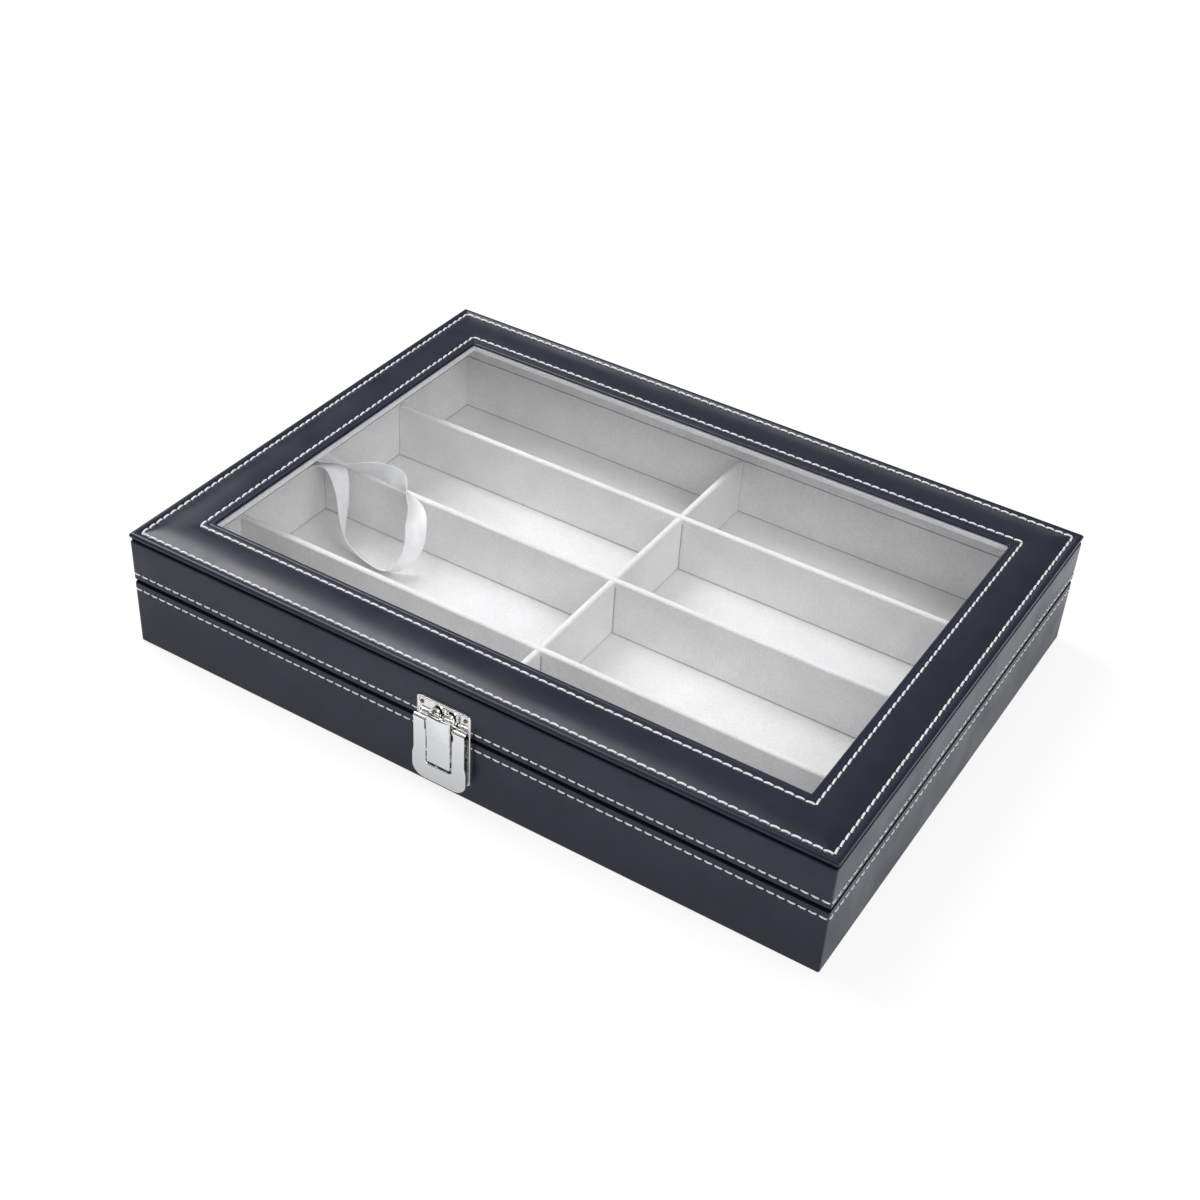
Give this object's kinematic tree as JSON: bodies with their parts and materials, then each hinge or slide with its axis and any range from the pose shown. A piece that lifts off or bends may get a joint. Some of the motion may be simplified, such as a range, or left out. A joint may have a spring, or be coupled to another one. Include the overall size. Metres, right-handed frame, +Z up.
{
  "type": "eyeglasses display box",
  "caption": "Rectangular leatherette display case with a hinged window lid, a draw latch and velvet compartments for eyeglasses.",
  "frame": {"origin": "bottom centre of the case, on the surface that it rests on", "axes": "+X along the hinges to the right, +Y to the hinged back, +Z up; the latch is at -Y"},
  "size_m": [0.3356, 0.2534, 0.0588],
  "materials": {
    "leather": "fine-grained dark blue-grey leatherette, satin",
    "bottom_cover": "matt black lining paper",
    "velvet": "short-pile off-white velvet",
    "divider_velvet": "short-pile off-white velvet over card",
    "board": "raw fibreboard, hidden",
    "glass": "clear, polished",
    "foam": "thin foam, hidden",
    "latch_chrome": "polished",
    "hinge_nickel": "nickel plated, satin",
    "nails": "plated steel",
    "ribbon": "white satin ribbon"
  },
  "bodies": {
    "base": {"base_back_board": "board", "base_back_lining": "velvet", "base_front_board": "board", "base_front_lining": "velvet", "base_leather": "leather", "base_left_board": "board", "base_left_lining": "velvet", "base_right_board": "board", "base_right_lining": "velvet", "bottom_board": "board", "bottom_cover": "bottom_cover", "cross_divider_1": "divider_velvet", "cross_divider_2": "divider_velvet", "cross_divider_3": "divider_velvet", "floor_pad": "velvet", "hinge_base_leaf_left": "hinge_nickel", "hinge_base_leaf_right": "hinge_nickel", "hinge_base_nails": "nails", "hinge_pin_left": "hinge_nickel", "hinge_pin_right": "hinge_nickel", "latch_base_nails": "nails", "latch_base_plate": "latch_chrome", "latch_pins": "latch_chrome", "long_divider_1": "divider_velvet", "ribbon_stay": "ribbon"},
    "lid": {"foam_pad": "foam", "glass": "glass", "hinge_lid_leaf_left": "hinge_nickel", "hinge_lid_leaf_right": "hinge_nickel", "hinge_lid_nails": "nails", "latch_strike_nails": "nails", "latch_strike_plate": "latch_chrome", "lid_back_board": "board", "lid_back_lining": "velvet", "lid_front_board": "board", "lid_front_lining": "velvet", "lid_left_board": "board", "lid_left_lining": "velvet", "lid_right_board": "board", "lid_right_lining": "velvet", "lid_side_leather": "leather", "lid_top_leather": "leather", "window_back_rail": "board", "window_front_rail": "board", "window_left_rail": "board", "window_right_rail": "board", "window_trim": "velvet"},
    "latch_lever": {"latch_lever": "latch_chrome", "latch_link_pin": "latch_chrome"},
    "latch_link": {"latch_link": "latch_chrome"}
  },
  "joints": [
    {"name": "lid_hinge", "type": "hinge", "parent": "base", "child": "lid", "pos_m": [0, 0.1245, 0.0337], "axis": [-1, 0, 0], "range_deg": [0, 95], "deforming": ["ribbon_stay"]},
    {"name": "lever_hinge", "type": "hinge", "parent": "base", "child": "latch_lever", "pos_m": [-0.003, -0.1254, 0.0367], "axis": [-1, 0, 0], "range_deg": [0, 120]},
    {"name": "link_hinge", "type": "hinge", "parent": "latch_lever", "child": "latch_link", "pos_m": [-0.003, -0.126, 0.017], "axis": [-1, 0, 0], "range_deg": [-120, 0]}
  ],
  "couplings": [
    {"joint": "link_hinge", "follows": "lever_hinge", "ratio": -1}
  ]
}
